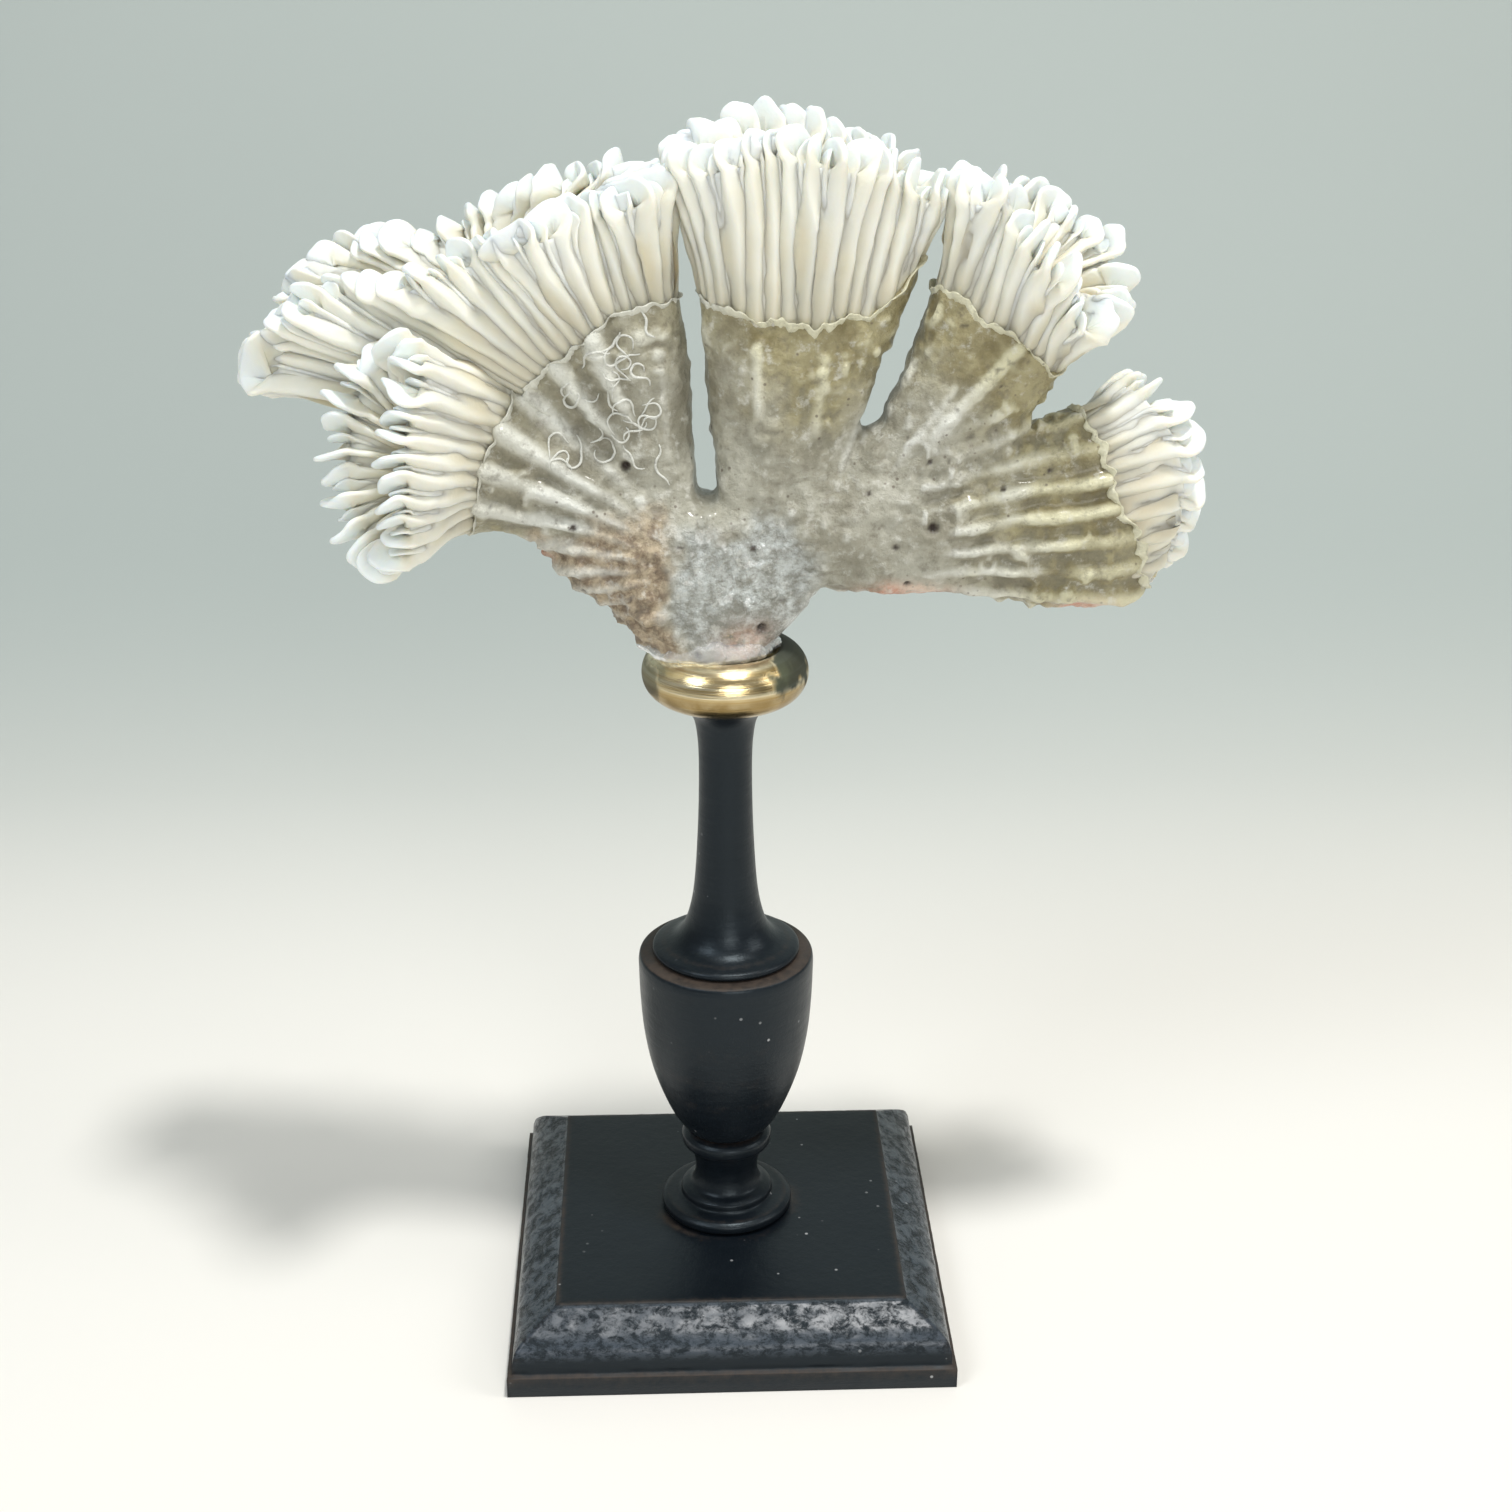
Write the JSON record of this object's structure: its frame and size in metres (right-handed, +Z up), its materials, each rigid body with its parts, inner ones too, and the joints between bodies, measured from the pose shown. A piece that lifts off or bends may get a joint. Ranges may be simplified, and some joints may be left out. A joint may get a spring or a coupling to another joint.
{
  "type": "branching coral on a turned stand",
  "caption": "White stony coral grown as a fan of flattened cup-shaped lobes, glued into a brass collar on a turned black column with a square moulded plinth.",
  "frame": {"origin": "centre of the plinth's flat underside, on the axis of the turned stem", "axes": "+Z up along the stem, the coral's broad side faces -Y, its longest lobe reaches towards -X"},
  "size_m": [0.2074, 0.105, 0.2827],
  "materials": {
    "black_paint": "turned and moulded wood under brushed black satin paint, worn brown at the edges",
    "polished_brass": "polished, with darker tarnish in streaks",
    "clear_glue": "set clear glue with fine bubbles and dust",
    "dead_wall": "matt grey-olive coral limestone with pale ridges, pits and worm tubes",
    "white_septa": "bleached white coral limestone, smooth rounded plates, cream in the grooves"
  },
  "bodies": {
    "root": {"plinth": "black_paint", "stem_foot": "black_paint", "stem_urn": "black_paint", "stem_neck": "black_paint", "brass_collar": "polished_brass", "glue_skirt": "clear_glue", "coral_foot": "dead_wall", "coral_branch_centre": "white_septa", "coral_branch_left": "white_septa", "coral_branch_left_rear": "white_septa", "coral_branch_right": "white_septa", "coral_branch_right_centre": "white_septa"}
  },
  "joints": []
}
